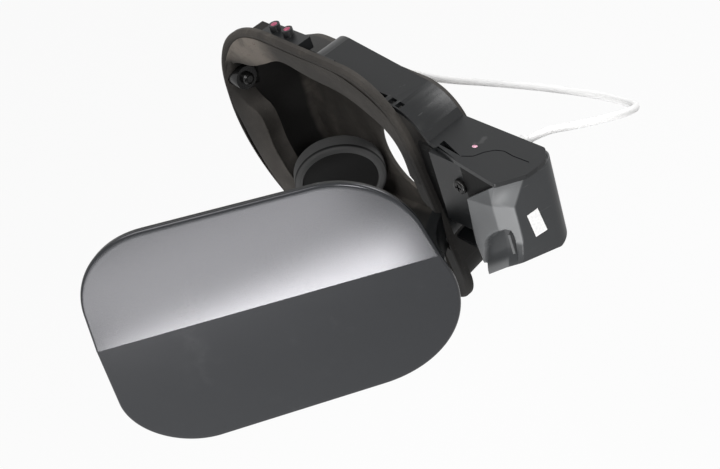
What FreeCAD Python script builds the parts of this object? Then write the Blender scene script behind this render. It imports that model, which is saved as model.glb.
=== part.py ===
"""Fuel filler flap unit of a car, in millimetres.

X runs along the flap towards the hinge end, Y runs inward into the car, Z is up along the hinge axis.
The origin is the centre of the filler neck hole, on the bowl's floor.
The flap is modelled closed and then turned open about the hinge to the pose in which it is shown.
"""
import FreeCAD, Part
import math
import os

os.makedirs("parts", exist_ok=True)
V = FreeCAD.Vector
X_AXIS, Y_AXIS, Z_AXIS = V(1, 0, 0), V(0, 1, 0), V(0, 0, 1)

# Outline of the flap and of the rim behind it: four slightly slanted sides and four corner radii
hinge_end_x = 82.0
flap_length = 190.0
crease_z = 43.0
crease_slope = 0.019
side_datum_z = 39.0
flap_top_z = 99.4
flap_bottom_z = -37.0
top_slope = -0.028
bottom_slope = 0.087
far_slope = 0.185
near_slope = -0.162
flap_radii = (45.7, 49.0, 39.3, 63.6)
far_end_x = hinge_end_x - flap_length
rim_top_rise = 7.7
rim_radii = (45.0, 71.0, 77.0, 22.0)

# Flap section: an outer skin and an inner panel, bent outward at the crease
bowl_depth = 50.0
crease_stand_off = 14.8
upper_lean = 5.0
lower_lean = 3.5
skin_sheet = 1.6
inner_sheet = 2.4
inner_panel_inset = 0.7
inner_rib_width = 5.0
inner_rib_inset = 9.0
inner_rib_height = 1.2
buffer_end_gaps = (48.0, 36.0)
buffer_hinge_gaps = (44.0, 52.0)
buffer_top_gaps = (20.4, 24.4)
buffer_bottom_gaps = (11.0, 20.0)
buffer_radius = 4.0
buffer_height = 1.4

# Hinge
hinge_x = 114.4
hinge_y = -33.7
hinge_lean_x = 0.0359
hinge_lean_y = -0.0423
open_angle = 50.15
pin_radius = 3.0
pin_running_clearance = 0.05
knuckle_radius = 7.0
arm_low_z = 6.0
arm_high_z = 26.6
arm_inner_radius = 36.5
arm_thickness = 6.0
arm_web_angle = 115.0
arm_web_width = 8.0
arm_end_angle = 203.0
arm_side_clearance = 0.7
slot_clearance = 1.1
arm_pad_length = 62.0
arm_pad_thickness = 3.0
arm_pad_low_z = -4.0
arm_pad_high_z = 36.0
arm_pad_round = 6.0
arm_screw_radius = 2.5
arm_screw_head_radius = 5.0
arm_screw_head_height = 2.4
arm_screw_spacing = 22.0
arm_screw_offset = 6.0
arm_screw_stand = 0.9
arm_screw_tail = 0.3
arm_screw_fit = 0.1
arm_screw_taper = 1.0
arm_pad_end_gap = 2.0
shoulder_angle = 8.0
shoulder_reach = 22.0
shoulder_sink = 0.5
pin_tail = 3.0
pin_head_grow = 1.8
pin_head_height = 1.6
spring_outer_radius = 6.5
spring_inner_radius = 4.6
spring_height = 12.0

# Bowl: offsets of its loops from the rim outline, in the order top, far, bottom, near
rim_grow = (0.0, 0.2, 0.3, -1.7)
lip_thickness = 4.0
lip_edge_round = 1.5
throat_inset = (13.0, 5.0, 1.5, 17.0)
throat_depth = 3.0
floor_inset = (42.0, 18.0, 3.0, 24.0)
throat_radii = (38.0, 60.0, 66.0, 18.0)
floor_radii = (26.0, 34.0, 48.0, 15.0)
bowl_wall = 2.5
hole_radius = 30.0
latch_pocket_end_gap = 4.0
latch_pocket_length = 49.0
latch_pocket_front_y = -46.5
latch_pocket_back_y = -30.0
latch_pocket_low_z = 46.0
latch_pocket_high_z = 94.0
latch_pocket_inset = 7.0
cradle_end_gap = 44.0
cradle_length = 34.0
cradle_front_y = -42.0
cradle_back_y = -13.0
cradle_low_z = -50.0
cradle_high_z = -35.0
cradle_clearance = 0.3
arm_slot_length = 60.0
arm_slot_reach = 40.0
arm_slot_depth = 56.0
arm_slot_front = 12.0

# Carrier
carrier_wall = 2.5
carrier_front_y = -45.0
carrier_back_y = -20.0
carrier_left_x = -18.0
carrier_left_top_z = 103.0
carrier_right_x = 76.0
carrier_right_z = 90.0
carrier_corner_radius = 14.0
carrier_left_lean = 8.0
carrier_foot_drop = 30.0
carrier_right_share = 0.4
box_top_z = 77.0
box_bottom_z = 15.0
step_radius = 7.0
step_x = 89.0
step_drop = 4.0
pocket_wall = 2.0
pocket_clearance = 1.5
pocket_left_reach = 10.0
pocket_right_reach = 3.5
pocket_front_y = -42.0
pocket_turn_drop = 8.0
pocket_turn_rise = 4.0
pocket_mouth_reach = 50.0
pocket_mouth_length = 200.0
pocket_mouth_front = 44.0
pocket_mouth_depth = 40.0
plate_thickness = 2.2
front_plate_y = -49.0
back_wall_end_x = 137.0
lid_points = ((86.0, -45.0), (109.0, -49.2), (139.4, -52.8), (148.7, -39.8), (149.4, -33.0), (149.0, -26.0),
              (143.0, carrier_back_y), (86.0, carrier_back_y))
lid_radii = (0.0, 0.0, 1.5, 2.0, 3.0, 4.0, 4.0, 0.0)
rail_reach = 18.0
rail_depth = 6.0
rail_height = 3.0
rail_z = 98.5

# Slots along the front of the carrier, as corner points in X and Y with the heights that they are cut between
wall_slots = (
    ((-13.0, -44.2), (13.0, -44.2), (13.0, -41.2)), ((25.0, -44.2), (56.0, -44.2), (56.0, -40.6)),
    ((59.0, -44.2), (62.6, -44.2), (62.6, -40.2), (59.0, -40.2)),
    ((64.4, -44.2), (68.0, -44.2), (68.0, -40.2), (64.4, -40.2)),
)
lid_slots = (((92.5, -43.8), (109.5, -45.3), (92.5, -40.4)), ((93.0, -46.3), (109.0, -48.4), (93.0, -45.2)))
slot_top_z = 110.0

# Facetted cover of the hinge box: loops of corner points in X and Y at rising heights
cover_wall = 2.2
cover_gap = 0.3
cover_back_y = -23.2
cover_left_x = 114.0
cover_top = ((cover_left_x, -50.6), (138.6, -52.4), (147.4, -39.6), (148.7, -33.8), (148.0, -28.5),
             (145.0, cover_back_y))
cover_middle = ((cover_left_x, -52.4), (115.0, -52.8), (144.3, -47.4), (147.6, -35.5), (147.2, -28.0),
                (143.4, cover_back_y))
cover_low = ((cover_left_x, -57.7), (121.2, -59.5), (136.5, -44.6), (141.8, -34.8), (143.2, -28.8),
             (139.8, cover_back_y))
cover_bottom = ((cover_left_x, -58.8), (122.4, -60.8), (134.5, -44.4), (137.2, -35.5), (137.4, -29.5),
                (134.6, cover_back_y))
cover_middle_z = 57.0
cover_low_z = 22.0
recess_depth = 3.4
recess_floor = 2.0
recess_corners = ((133.5, 8.0), (141.5, 48.0), (122.8, 39.0), (125.5, 8.0))
recess_radii = (0.0, 4.0, 7.0, 0.0)
recess_reach = 60.0
recess_rib_corners = ((136.4, 40.0), (137.8, 40.0), (135.0, 25.0), (133.6, 25.0))
recess_rib_drop = 1.2
screw_x = 108.6
screw_z = 60.6
screw_head_radius = 4.2
screw_head_height = 2.6
screw_shank_radius = 2.0
screw_length = 12.0
screw_head_round = 1.2
screw_slot_length = 4.4
screw_slot_width = 1.0
screw_slot_depth = 1.6
screw_fit = 0.05

# Lock at the far end
lock_z = 58.0
lock_y = -41.0
lock_pin_radius = 4.0
lock_pin_length = 12.5
lock_tip_gap = 21.0
lock_tip_x = far_end_x + lock_tip_gap
lock_wall = 3.5
lock_housing_length = 12.0
lock_pin_show = 3.5
lock_mouth_x = lock_tip_x - lock_pin_show
lock_seat_gap = 0.15
lock_back = 0.5
lock_tip_round = 2.0
striker_gap = 2.5
striker_thickness = 3.0
striker_width = 16.0
striker_foot_length = 12.0
striker_foot_margin = 2.0
striker_window_clearance = 1.2
striker_edge = 3.5
striker_sink = 1.5
striker_round = 6.0

# Clip block on the upper lip
clip_x = -42.0
clip_length = 34.0
clip_depth = 9.0
clip_height = 7.0
clip_stud_radius = 3.2
clip_stud_height = 4.0
clip_stud_places = (8.5, 20.4)

# Loose fuel cap, lying in the bowl
cap_end_gap = 61.0
cap_y = -27.3
cap_z = -12.7
cap_centre = V(far_end_x + cap_end_gap, cap_y, cap_z)
cap_normal = V(0.80, -0.58, -0.14)
cap_radius = 29.0
cap_thickness = 12.0
cap_shoulder_round = 3.0
cap_back_round = 1.5
cap_recess_depth = 2.4
cap_recess_radius = 24.5
cap_neck_radius = 17.0
cap_neck_length = 5.0
cap_seal_section = 1.5

# Release cable: straight runs joined by tangent arcs, from the bowl's back round the loop to the hinge box
cable_diameter = 4.2
ferrule_radius = 3.6
ferrule_length = 8.0
cable_points = (
    (-30.0, 2.5, 42.0), (-30.0, 18.0, 42.0), (-16.0, 26.0, 41.0), (4.0, 29.5, 40.0), (31.0, 39.7, 40.0),
    (65.0, 51.3, 40.0), (101.0, 59.5, 41.0), (126.0, 57.0, 45.5), (141.0, 47.5, 54.5), (146.0, 31.5, 63.0),
    (137.0, 12.0, 67.0), (120.0, -4.0, 67.0), (120.0, -20.0, 67.0),
)

rim_y = -bowl_depth
closed_y = rim_y - crease_stand_off
hinge_point = V(hinge_x, hinge_y, 0)
hinge_pivot = V(hinge_x, hinge_y, side_datum_z)
hinge_axis = V(hinge_lean_x, hinge_lean_y, 1).normalize()


def polar(radius, angle, z=0.0):
    """Point at a radius and an angle in degrees about the hinge axis."""
    turn = math.radians(angle)
    return V(hinge_x + radius * math.cos(turn), hinge_y + radius * math.sin(turn), z)


def rounded_wire(corners, radii):
    """Closed wire through corner points, each rounded by a tangent arc, or left sharp at radius 0."""
    count = len(corners)
    ends = []
    for index, corner in enumerate(corners):
        before = (corners[index - 1] - corner).normalize()
        after = (corners[(index + 1) % count] - corner).normalize()
        half = before.getAngle(after) / 2
        radius = radii[index]
        reach = radius / math.tan(half)
        inward = (before + after).normalize()
        middle = corner + inward * (radius / math.sin(half) - radius)
        ends.append((corner + before * reach, middle, corner + after * reach, radius))
    edges = []
    for index, (start, middle, end, radius) in enumerate(ends):
        if radius > 0:
            edges.append(Part.Arc(start, middle, end).toShape())
        following = ends[(index + 1) % count][0]
        if end.distanceToPoint(following) > 1e-6:
            edges.append(Part.makeLine(end, following))
    return Part.Wire(edges)


def outline(y, grow, radii, top_rise=0.0):
    """Loop of four slanted sides at depth y, each side moved outward by its share of grow."""
    top, far, bottom, near = grow

    def across(level, level_slope, side, side_slope):
        """Crossing of a level side with an upright side."""
        z = (level + level_slope * (side - side_slope * side_datum_z - hinge_end_x))
        z = z / (1 - level_slope * side_slope)
        return V(side + side_slope * (z - side_datum_z), y, z)

    top_level = flap_top_z + top_rise + top
    bottom_level = flap_bottom_z - bottom
    corners = [
        across(top_level, top_slope, hinge_end_x + near, near_slope),
        across(top_level, top_slope, far_end_x - far, far_slope),
        across(bottom_level, bottom_slope, far_end_x - far, far_slope),
        across(bottom_level, bottom_slope, hinge_end_x + near, near_slope),
    ]
    return rounded_wire(corners, radii)


def even(distance):
    """The same offset on all four sides."""
    return (distance, distance, distance, distance)


def grown(radii, distance):
    """Corner radii of a loop that is offset by a distance."""
    return tuple(radius + distance for radius in radii)


def prism(wire, direction):
    """Solid swept from a flat closed wire."""
    return Part.Face(wire).extrude(direction)


def block(low, high, margin):
    """Box between two corners, grown by a margin on every side."""
    size = high - low
    grow = V(margin, margin, margin)
    return Part.makeBox(size.x + 2 * margin, size.y + 2 * margin, size.z + 2 * margin, low - grow)


def latch_pocket(margin):
    """Room of the latch at the far end of the bowl, grown by a margin and kept inside the lip."""
    left = far_end_x + latch_pocket_end_gap
    room = block(V(left, latch_pocket_front_y, latch_pocket_low_z),
                 V(left + latch_pocket_length, latch_pocket_back_y, latch_pocket_high_z), margin)
    return room.common(prism(rim_loop(2 * rim_y, margin - latch_pocket_inset), Y_AXIS * -2 * rim_y))


def cap_cradle():
    """Block at the foot of the bowl that the loose cap leans on."""
    left = far_end_x + cradle_end_gap
    right = left + cradle_length
    return block(V(left, cradle_front_y, cradle_low_z), V(right, cradle_back_y, cradle_high_z), 0.0)


def inset_polygon(points, distance):
    """Corner points of a polygon, listed anticlockwise, with every edge moved inward."""
    moved = []
    count = len(points)
    for index in range(count):
        before, here, after = points[index - 1], points[index], points[(index + 1) % count]
        first = math.atan2(here[1] - before[1], here[0] - before[0])
        second = math.atan2(after[1] - here[1], after[0] - here[0])
        half = (second - first) / 2
        middle = (first + second) / 2
        if abs(half) > math.pi / 2:
            middle += math.pi
        step = distance / abs(math.cos(half))
        moved.append((here[0] - step * math.sin(middle), here[1] + step * math.cos(middle)))
    return moved


def leaned(shape):
    """A piece made about an upright line through the hinge, leaned to the hinge axis."""
    lean = math.degrees(Z_AXIS.getAngle(hinge_axis))
    return shape.rotate(hinge_pivot, Z_AXIS.cross(hinge_axis), lean)


def opened(shape):
    """The flap's pieces, turned from closed to the open pose shown."""
    return shape.rotate(hinge_pivot, hinge_axis, open_angle)


def flap_slab(near_depth, far_depth):
    """Layer of the bent flap between two depths behind its outer face, without an outline."""
    reach = flap_length
    upper = math.radians(upper_lean)
    lower = math.radians(lower_lean)
    top = V(0, reach * math.sin(upper), reach * math.cos(upper))
    bottom = V(0, reach * math.sin(lower), -reach * math.cos(lower))

    def bent(depth):
        """Crease and end points of the bent line at a depth behind the outer face."""
        ridge = V(0, closed_y + depth, crease_z)
        return ridge + top, ridge, ridge + bottom

    outer = bent(near_depth)
    inner = bent(far_depth)
    loop = [outer[0], outer[1], outer[2], inner[2], inner[1], inner[0], outer[0]]
    run = V(1, 0, crease_slope)
    start = X_AXIS * hinge_end_x - run * (2 * flap_length)
    face = Part.Face(Part.makePolygon([point + start for point in loop]))
    return face.extrude(run * (3 * flap_length))


def flap_layer(inset_distance, near_depth, far_depth):
    """Layer of the flap inside its outline."""
    loop = outline(closed_y - bowl_depth / 2, even(-inset_distance), grown(flap_radii, -inset_distance))
    return prism(loop, Y_AXIS * (2 * bowl_depth)).common(flap_slab(near_depth, far_depth))


def make_flap_skin():
    """Painted outer skin."""
    return flap_layer(0.0, 0.0, skin_sheet)


def make_flap_inner():
    """Inner panel with a raised stiffening frame all round."""
    depth = skin_sheet + inner_sheet
    panel = flap_layer(inner_panel_inset, skin_sheet, depth)
    frame = flap_layer(inner_rib_inset, depth, depth + inner_rib_height)
    frame = frame.cut(flap_layer(inner_rib_inset + inner_rib_width, depth, depth + inner_rib_height))
    frame = frame.cut(arm_pad_prism(arm_side_clearance)).cut(striker_footprint(arm_side_clearance))
    return panel.fuse(frame).removeSplitter()


def striker_footprint(margin):
    """Block over the striker's foot, through the flap's depth."""
    width = striker_width + 2 * striker_foot_margin
    return Part.makeBox(striker_foot_length + 2 * margin, bowl_depth, width + 2 * margin,
                        V(lock_tip_x + striker_gap - margin, closed_y, lock_z - width / 2 - margin))


def arm_pad_prism(margin):
    """Rounded rectangle of the arm's pad, swept through the flap's depth."""
    right = hinge_end_x - arm_pad_end_gap + margin
    left = hinge_end_x - arm_pad_end_gap - arm_pad_length - margin
    low = arm_pad_low_z - margin
    high = arm_pad_high_z + margin
    front = closed_y
    corners = [V(right, front, high), V(left, front, high), V(left, front, low), V(right, front, low)]
    return prism(rounded_wire(corners, [arm_pad_round] * 4), Y_AXIS * bowl_depth)


def pad_face_depth():
    """Depth of the face that the arm's pad lies on."""
    return skin_sheet + inner_sheet


def arm_screw_places():
    """Centres of the arm's screws on the pad, in X and Z."""
    middle_x = hinge_end_x - arm_pad_end_gap - arm_pad_length / 2 - arm_screw_offset
    middle_z = (arm_pad_low_z + arm_pad_high_z) / 2
    return [(middle_x - arm_screw_spacing, middle_z), (middle_x, middle_z)]


def flap_inner_y(z):
    """Y of the inner panel's face below the crease."""
    return closed_y + pad_face_depth() + (crease_z - z) * math.tan(math.radians(lower_lean))


def make_hinge_arm():
    """Gooseneck arm: knuckle, web, arc round the bowl's lip and a pad on the flap."""
    height = arm_high_z - arm_low_z
    outer_radius = arm_inner_radius + arm_thickness
    lift = V(0, 0, arm_low_z)
    base = hinge_point + lift
    span = arm_end_angle - arm_web_angle
    ring = Part.makeCylinder(outer_radius, height, base, Z_AXIS, span)
    ring = ring.cut(Part.makeCylinder(arm_inner_radius, height, base, Z_AXIS, span))
    ring.rotate(base, Z_AXIS, arm_web_angle)
    web = Part.makeBox(outer_radius, arm_web_width, height, base - Y_AXIS * (arm_web_width / 2))
    web.rotate(base, Z_AXIS, arm_web_angle)
    web = web.common(Part.makeCylinder(outer_radius, height, base, Z_AXIS))
    knuckle = Part.makeCylinder(knuckle_radius, height, base, Z_AXIS)
    shoulder_start = arm_end_angle - shoulder_angle
    shoulder_x = hinge_end_x - arm_pad_end_gap
    shoulder_y = flap_inner_y(arm_high_z) + shoulder_sink
    shoulder = prism(Part.makePolygon([
        polar(arm_inner_radius, shoulder_start, arm_low_z),
        polar(outer_radius, shoulder_start, arm_low_z),
        V(shoulder_x - shoulder_reach, shoulder_y, arm_low_z),
        V(shoulder_x, shoulder_y, arm_low_z),
        polar(arm_inner_radius, arm_end_angle, arm_low_z),
        polar(arm_inner_radius, shoulder_start, arm_low_z),
    ]), V(0, 0, height))
    depth = pad_face_depth()
    pad = arm_pad_prism(0.0).common(flap_slab(depth, depth + arm_pad_thickness))
    neck = leaned(ring.fuse([web, knuckle, shoulder]))
    arm = neck.fuse(pad)
    below_face = flap_slab(-bowl_depth, depth)
    arm = arm.cut(below_face)
    bore = Part.makeCylinder(pin_radius + pin_running_clearance, 3 * height, base - Z_AXIS * height, Z_AXIS)
    arm = arm.cut(leaned(bore))
    for x, z in arm_screw_places():
        y = flap_inner_y(z) - arm_pad_thickness
        arm = arm.cut(Part.makeCylinder(arm_screw_radius, bowl_depth, V(x, y, z), Y_AXIS))
    return arm.removeSplitter()


def make_arm_screws():
    """Two screws that hold the arm's pad on the flap."""
    screws = []
    for x, z in arm_screw_places():
        seat = flap_inner_y(z) + arm_pad_thickness + arm_screw_stand
        shank_length = arm_pad_thickness + arm_screw_stand - arm_screw_tail
        shank = Part.makeCylinder(arm_screw_radius - arm_screw_fit, shank_length,
                                  V(x, seat - shank_length, z), Y_AXIS)
        head = Part.makeCone(arm_screw_head_radius, arm_screw_head_radius - arm_screw_taper,
                             arm_screw_head_height, V(x, seat, z), Y_AXIS)
        screws.append(shank.fuse(head))
    return Part.makeCompound(screws)


def make_hinge_pin():
    """Hinge pin, held in the floor plate and the shelf of the carrier."""
    low = arm_low_z - arm_side_clearance - plate_thickness
    high = arm_high_z + arm_side_clearance + plate_thickness + pin_tail
    pin = Part.makeCylinder(pin_radius, high - low, V(hinge_x, hinge_y, low), Z_AXIS)
    head = Part.makeCylinder(pin_radius + pin_head_grow, pin_head_height,
                             V(hinge_x, hinge_y, low - pin_head_height), Z_AXIS)
    return leaned(pin.fuse(head))


def make_hinge_spring():
    """Coil of the flap's spring, as its outer sleeve on the shelf."""
    low = arm_high_z + arm_side_clearance + plate_thickness
    base = V(hinge_x, hinge_y, low)
    outer = Part.makeCylinder(spring_outer_radius, spring_height, base, Z_AXIS)
    return leaned(outer.cut(Part.makeCylinder(spring_inner_radius, spring_height, base, Z_AXIS)))


def loft(wires):
    """Ruled solid through loops."""
    return Part.makeLoft(wires, True, True)


def rim_loop(y, distance):
    """Loop of the lip's outer edge at depth y, offset outward by a distance."""
    grow = tuple(side + distance for side in rim_grow)
    return outline(y, grow, grown(rim_radii, distance), rim_top_rise)


def throat_loop(y, distance):
    """Loop of the throat behind the funnel, offset outward by a distance."""
    grow = tuple(distance - side for side in throat_inset)
    return outline(y, grow, grown(throat_radii, distance), rim_top_rise)


def floor_loop(y, distance):
    """Loop of the floor's edge, offset outward by a distance."""
    grow = tuple(distance - side for side in floor_inset)
    return outline(y, grow, grown(floor_radii, distance), rim_top_rise)


def bowl_body(margin):
    """Outside of the bowl as one solid, grown by a margin."""
    throat_y = rim_y + throat_depth
    back_y = rim_y + lip_thickness
    lip = loft([rim_loop(rim_y - margin, margin - lip_edge_round), rim_loop(rim_y + lip_edge_round, margin)])
    band = prism(rim_loop(rim_y + lip_edge_round, margin), Y_AXIS * (lip_thickness - lip_edge_round + margin))
    outside = bowl_wall + margin
    funnel = loft([rim_loop(back_y, margin - bowl_wall), throat_loop(throat_y + 2 * bowl_wall, outside)])
    walls = loft([throat_loop(throat_y, outside), floor_loop(outside, outside)])
    return lip.fuse([band, funnel, walls, latch_pocket(outside)])


def make_bowl():
    """Soft bowl: rolled lip, funnel, sloping walls, latch pocket, cradle of the cap and filler neck hole."""
    throat_y = rim_y + throat_depth
    funnel = loft([rim_loop(rim_y, -2 * lip_edge_round), throat_loop(throat_y, 0.0)])
    hollow = loft([throat_loop(throat_y, 0.0), floor_loop(0.0, 0.0)])
    hole = Part.makeCylinder(hole_radius, 4 * bowl_wall, V(0, -2 * bowl_wall, 0), Y_AXIS)
    lock_hole = Part.makeCylinder(lock_pin_radius + lock_wall + lock_seat_gap, 2 * lock_housing_length,
                                  V(lock_mouth_x - 1.5 * lock_housing_length, lock_y, lock_z), X_AXIS)
    solid = bowl_body(0.0)
    cradle = cap_cradle().common(solid)
    room_radius = cap_radius + cradle_clearance
    cap_room = placed_cap(Part.makeCylinder(room_radius, 2 * cap_radius, V(0, 0, -cap_radius), Z_AXIS))
    solid = solid.cut(funnel).cut(hollow).cut(latch_pocket(0.0)).fuse(cradle.cut(cap_room))
    return solid.cut(hole).cut(lock_hole).cut(arm_slot()).removeSplitter()


def arm_slot():
    """Space that the gooseneck arm sweeps through the lip and the wall of the bowl."""
    low = arm_low_z - arm_side_clearance - plate_thickness
    high = arm_high_z + arm_side_clearance + plate_thickness
    room = Part.makeBox(arm_slot_length, arm_slot_depth, high - low,
                        V(hinge_end_x - arm_slot_reach, rim_y - arm_slot_front, low))
    keep = Part.makeCylinder(arm_inner_radius - slot_clearance, high - low, V(hinge_x, hinge_y, low), Z_AXIS)
    return leaned(room.cut(keep))


def carrier_profile(distance):
    """Outline of the carrier's upper wall in X and Z, moved inward by a distance."""
    y = carrier_front_y
    low = box_top_z - carrier_foot_drop
    corners = [
        V(carrier_left_x + distance, y, low),
        V(carrier_left_x + carrier_left_lean + distance, y, carrier_left_top_z - distance),
        V(carrier_right_x - distance * carrier_right_share, y, carrier_right_z - distance),
        V(step_x - distance, y, box_top_z - step_drop),
        V(step_x - distance, y, low),
    ]
    radii = [0.0, carrier_corner_radius - distance, 2 * carrier_corner_radius - distance, step_radius, 0.0]
    return rounded_wire(corners, radii)


def make_pocket():
    """Pocket of the gooseneck arm behind the bowl: floor, shelf and a drum round the arm's sweep."""
    shelf_low = arm_high_z + arm_side_clearance
    floor_low = arm_low_z - arm_side_clearance - plate_thickness
    radius = arm_inner_radius + arm_thickness + pocket_clearance
    left = hinge_end_x - pocket_left_reach
    right = hinge_x + pocket_right_reach
    back = hinge_y + radius + pocket_wall
    web_turn = math.radians(arm_web_angle)
    web_side = knuckle_radius + pocket_clearance
    side_point = hinge_point + V(math.sin(web_turn), -math.cos(web_turn), 0) * web_side
    side_way = V(math.cos(web_turn), math.sin(web_turn), 0)
    side_end = side_point + side_way * radius

    def plan(thickness):
        """Bound of the pocket in plan, with its slanted side moved outward by a thickness."""
        across = V(math.sin(web_turn), -math.cos(web_turn), 0) * thickness
        turn_in = side_point + across
        corners = [V(left, pocket_front_y, 0), V(right, pocket_front_y, 0),
                   V(right, turn_in.y - pocket_turn_drop, 0),
                   turn_in + side_way * pocket_turn_rise, side_end + across,
                   V(side_end.x + across.x, back, 0), V(left, back, 0)]
        return Part.makePolygon(corners + corners[:1])

    height = shelf_low + plate_thickness - floor_low
    outside = prism(plan(pocket_wall), Z_AXIS * height)
    outside = outside.common(Part.makeCylinder(radius + pocket_wall, height, hinge_point, Z_AXIS))
    room = prism(plan(0.0), Z_AXIS * (height - 2 * plate_thickness))
    room = room.common(Part.makeCylinder(radius, height, hinge_point, Z_AXIS))
    room.translate(V(0, 0, plate_thickness))
    mouth = Part.makeBox(pocket_mouth_length, pocket_mouth_depth, height - 2 * plate_thickness,
                         V(left - pocket_mouth_reach, carrier_back_y - pocket_mouth_front, plate_thickness))
    pocket = outside.cut(room).cut(mouth)
    return leaned(pocket.translated(V(0, 0, floor_low)))


def make_carrier():
    """Hard carrier: upper wall, top of the hinge box, front and back walls, slots and the arm's pocket."""
    depth = carrier_back_y - carrier_front_y
    wall = prism(carrier_profile(0.0), Y_AXIS * depth)
    wall = wall.cut(prism(carrier_profile(carrier_wall), Y_AXIS * depth))
    lid_low = box_top_z - carrier_wall
    lid_wire = rounded_wire([V(x, y, lid_low) for x, y in lid_points], lid_radii)
    lid = prism(lid_wire, V(0, 0, carrier_wall))
    shelf_low = arm_high_z + arm_side_clearance
    shelf_top = shelf_low + plate_thickness
    back = Part.makeBox(back_wall_end_x - step_x, carrier_wall, lid_low - shelf_low,
                        V(step_x, carrier_back_y - carrier_wall, shelf_low))
    plate = Part.makeBox(cover_left_x - cover_gap - step_x, carrier_wall, lid_low - shelf_top,
                         V(step_x, front_plate_y, shelf_top))
    side = Part.makeBox(carrier_wall, carrier_back_y - front_plate_y, lid_low - shelf_low,
                        V(step_x, front_plate_y, shelf_low))
    rail = Part.makeBox(carrier_left_x + rail_reach + carrier_corner_radius - clip_x, rail_depth, rail_height,
                        V(clip_x, carrier_front_y, rail_z))
    sweep = Part.makeCylinder(arm_inner_radius + arm_thickness + pocket_clearance,
                              shelf_top - arm_low_z + arm_side_clearance,
                              V(hinge_x, hinge_y, arm_low_z - arm_side_clearance), Z_AXIS)
    solid = wall.fuse([lid, back, plate, side, rail])
    for slots, low in ((wall_slots, box_top_z), (lid_slots, lid_low)):
        for points in slots:
            loop = [V(x, y, low) for x, y in points]
            solid = solid.cut(prism(Part.makePolygon(loop + loop[:1]), Z_AXIS * (slot_top_z - low)))
    solid = solid.cut(leaned(sweep)).fuse(make_pocket())
    solid = solid.cut(bowl_body(cover_gap)).cut(arm_slot())
    pin_hole = Part.makeCylinder(pin_radius, box_top_z,
                                 V(hinge_x, hinge_y, arm_low_z - box_top_z / 2), Z_AXIS)
    solid = solid.cut(leaned(pin_hole))
    screw_hole = Part.makeCylinder(screw_shank_radius, 2 * screw_length,
                                   V(screw_x, front_plate_y - screw_length, screw_z), Y_AXIS)
    return solid.cut(screw_hole).removeSplitter()


def facetted(levels):
    """Solid between loops of points at rising heights, with flat triangles between one loop and the next."""
    faces = [Part.Face(Part.makePolygon(loop + loop[:1])) for loop in (levels[0], levels[-1])]
    for low, high in zip(levels, levels[1:]):
        count = len(low)
        for index in range(count):
            after = (index + 1) % count
            for corners in ((low[index], low[after], high[after]), (low[index], high[after], high[index])):
                faces.append(Part.Face(Part.makePolygon(list(corners) + [corners[0]])))
    solid = Part.Solid(Part.Shell(faces))
    if solid.Volume < 0:
        solid.reverse()
    return solid


def cover_core(distance):
    """Inside of the cover, with its outer sides and its foot moved inward by a distance."""
    top_z = box_top_z - carrier_wall - cover_gap
    levels = []
    for points, z in ((cover_bottom, box_bottom_z + distance), (cover_low, cover_low_z + distance / 2),
                      (cover_middle, cover_middle_z), (cover_top, top_z + distance)):
        loop = list(points) + [(cover_left_x, cover_back_y)]
        if distance > 0:
            loop = inset_polygon(loop, distance)
            loop[0] = (cover_left_x - 2 * cover_wall, loop[0][1])
            loop[-1] = (cover_left_x - 2 * cover_wall, loop[-1][1])
        levels.append([V(x, y, z) for x, y in loop])
    return facetted(levels)


def across_box(corners, radii):
    """Prism through the hinge box along Y from corner points in X and Z."""
    front = 2 * front_plate_y
    return prism(rounded_wire([V(x, front, z) for x, z in corners], radii), Y_AXIS * recess_reach)


def make_hinge_box_cover():
    """Facetted cover of the hinge box, open towards the bowl, with an arched recess and a rib in it."""
    outer = cover_core(0.0)
    arch = across_box(recess_corners, recess_radii)
    rim = across_box(inset_polygon(recess_corners, -recess_floor), grown(recess_radii, recess_floor))
    cavity = cover_core(cover_wall).cut(rim).fuse(cover_core(recess_depth + recess_floor))
    shell = outer.cut(cavity)
    shell = shell.cut(arch.cut(cover_core(recess_depth)))
    rib = across_box(recess_rib_corners, [0.0] * len(recess_rib_corners))
    rib = rib.common(cover_core(recess_rib_drop)).cut(cover_core(recess_depth + recess_floor / 2))
    knuckle_room = Part.makeCylinder(knuckle_radius + 2 * cover_wall, box_top_z,
                                     V(hinge_x, hinge_y, -hole_radius), Z_AXIS)
    return shell.fuse(rib).cut(leaned(knuckle_room)).cut(make_pocket()).removeSplitter()


def make_cover_screw():
    """Screw of the cover, with a domed head and a cross recess."""
    seat = front_plate_y
    crown = seat - screw_head_height
    head = Part.makeCylinder(screw_head_radius, screw_head_height, V(screw_x, crown, screw_z), Y_AXIS)
    crown_edges = [edge for edge in head.Edges if abs(edge.BoundBox.YMax - crown) < 1e-6]
    head = head.makeFillet(screw_head_round, crown_edges)
    shank = Part.makeCylinder(screw_shank_radius - screw_fit, screw_length, V(screw_x, seat, screw_z), Y_AXIS)
    screw = head.fuse(shank)
    for width, height in ((screw_slot_length, screw_slot_width), (screw_slot_width, screw_slot_length)):
        start = V(screw_x - width / 2, crown, screw_z - height / 2)
        screw = screw.cut(Part.makeBox(width, screw_slot_depth, height, start))
    return screw


def make_lock_housing():
    """Guide of the lock pin, set in the far wall of the bowl, closed at its back."""
    outer = lock_pin_radius + lock_wall
    start = lock_mouth_x - lock_housing_length
    body = Part.makeCylinder(outer, lock_housing_length, V(start, lock_y, lock_z), X_AXIS)
    bore_radius = lock_pin_radius + pin_running_clearance
    bore = Part.makeCylinder(bore_radius, lock_housing_length, V(start + lock_back, lock_y, lock_z), X_AXIS)
    return body.cut(bore)


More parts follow.
